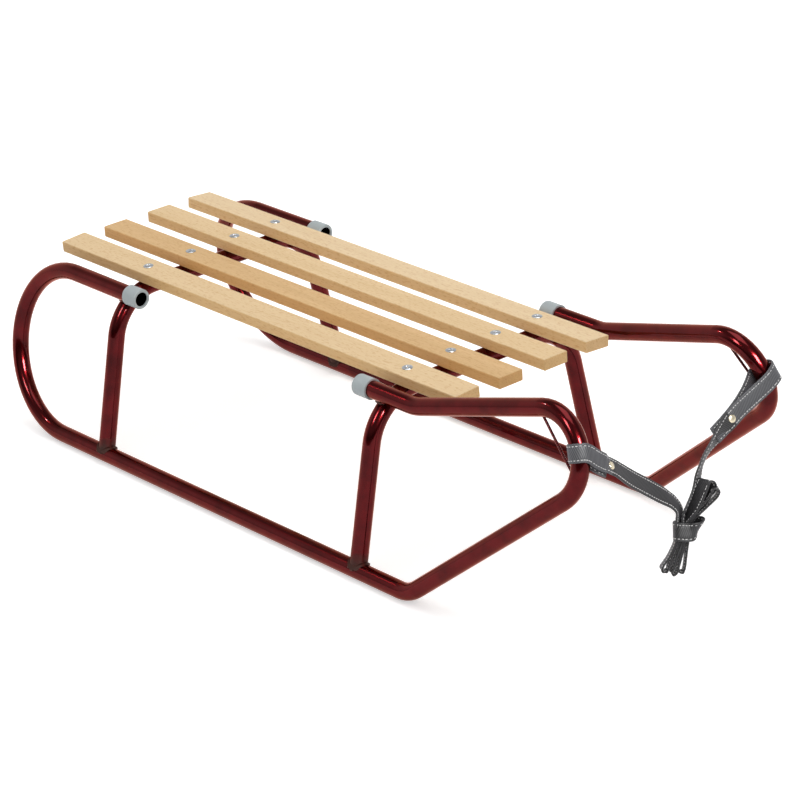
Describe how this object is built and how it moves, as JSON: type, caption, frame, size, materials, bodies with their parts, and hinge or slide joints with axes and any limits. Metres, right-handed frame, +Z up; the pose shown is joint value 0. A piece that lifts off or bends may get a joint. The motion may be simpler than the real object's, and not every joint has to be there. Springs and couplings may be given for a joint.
{
  "type": "metal sled with a slatted wooden seat",
  "caption": "Child's sled of bent round steel tube: two looped runners, two hoops, a seat of wooden slats and a folded pull strap.",
  "frame": {"origin": "on the ground under the middle of the rigid sled", "axes": "+X forward to the nose, +Y to the sitter's left, +Z up"},
  "size_m": [1.0064, 0.3864, 0.2717],
  "materials": {
    "frame_lacquer": "gloss dark red metallic lacquer",
    "slat_wood": "satin varnished beech",
    "sleeve_plastic": "satin grey plastic",
    "stop_wire": "lacquered steel wire",
    "strap_webbing": "coated woven band with white stitching"
  },
  "bodies": {
    "sled": {"runner_right": "frame_lacquer", "runner_left": "frame_lacquer", "hoop_rear": "frame_lacquer", "hoop_front": "frame_lacquer", "slat_1": "slat_wood", "slat_2": "slat_wood", "slat_3": "slat_wood", "slat_4": "slat_wood", "sleeve_rear_right": "sleeve_plastic", "sleeve_rear_left": "sleeve_plastic", "sleeve_front_right": "sleeve_plastic", "sleeve_front_left": "sleeve_plastic", "stop_wire_right": "stop_wire", "stop_wire_left": "stop_wire", "strap_loop_right": "strap_webbing", "strap_loop_left": "strap_webbing", "strap_arm_right": "strap_webbing", "strap_arm_left": "strap_webbing", "strap_hank": "strap_webbing", "strap_wrap": "strap_webbing"}
  },
  "joints": []
}
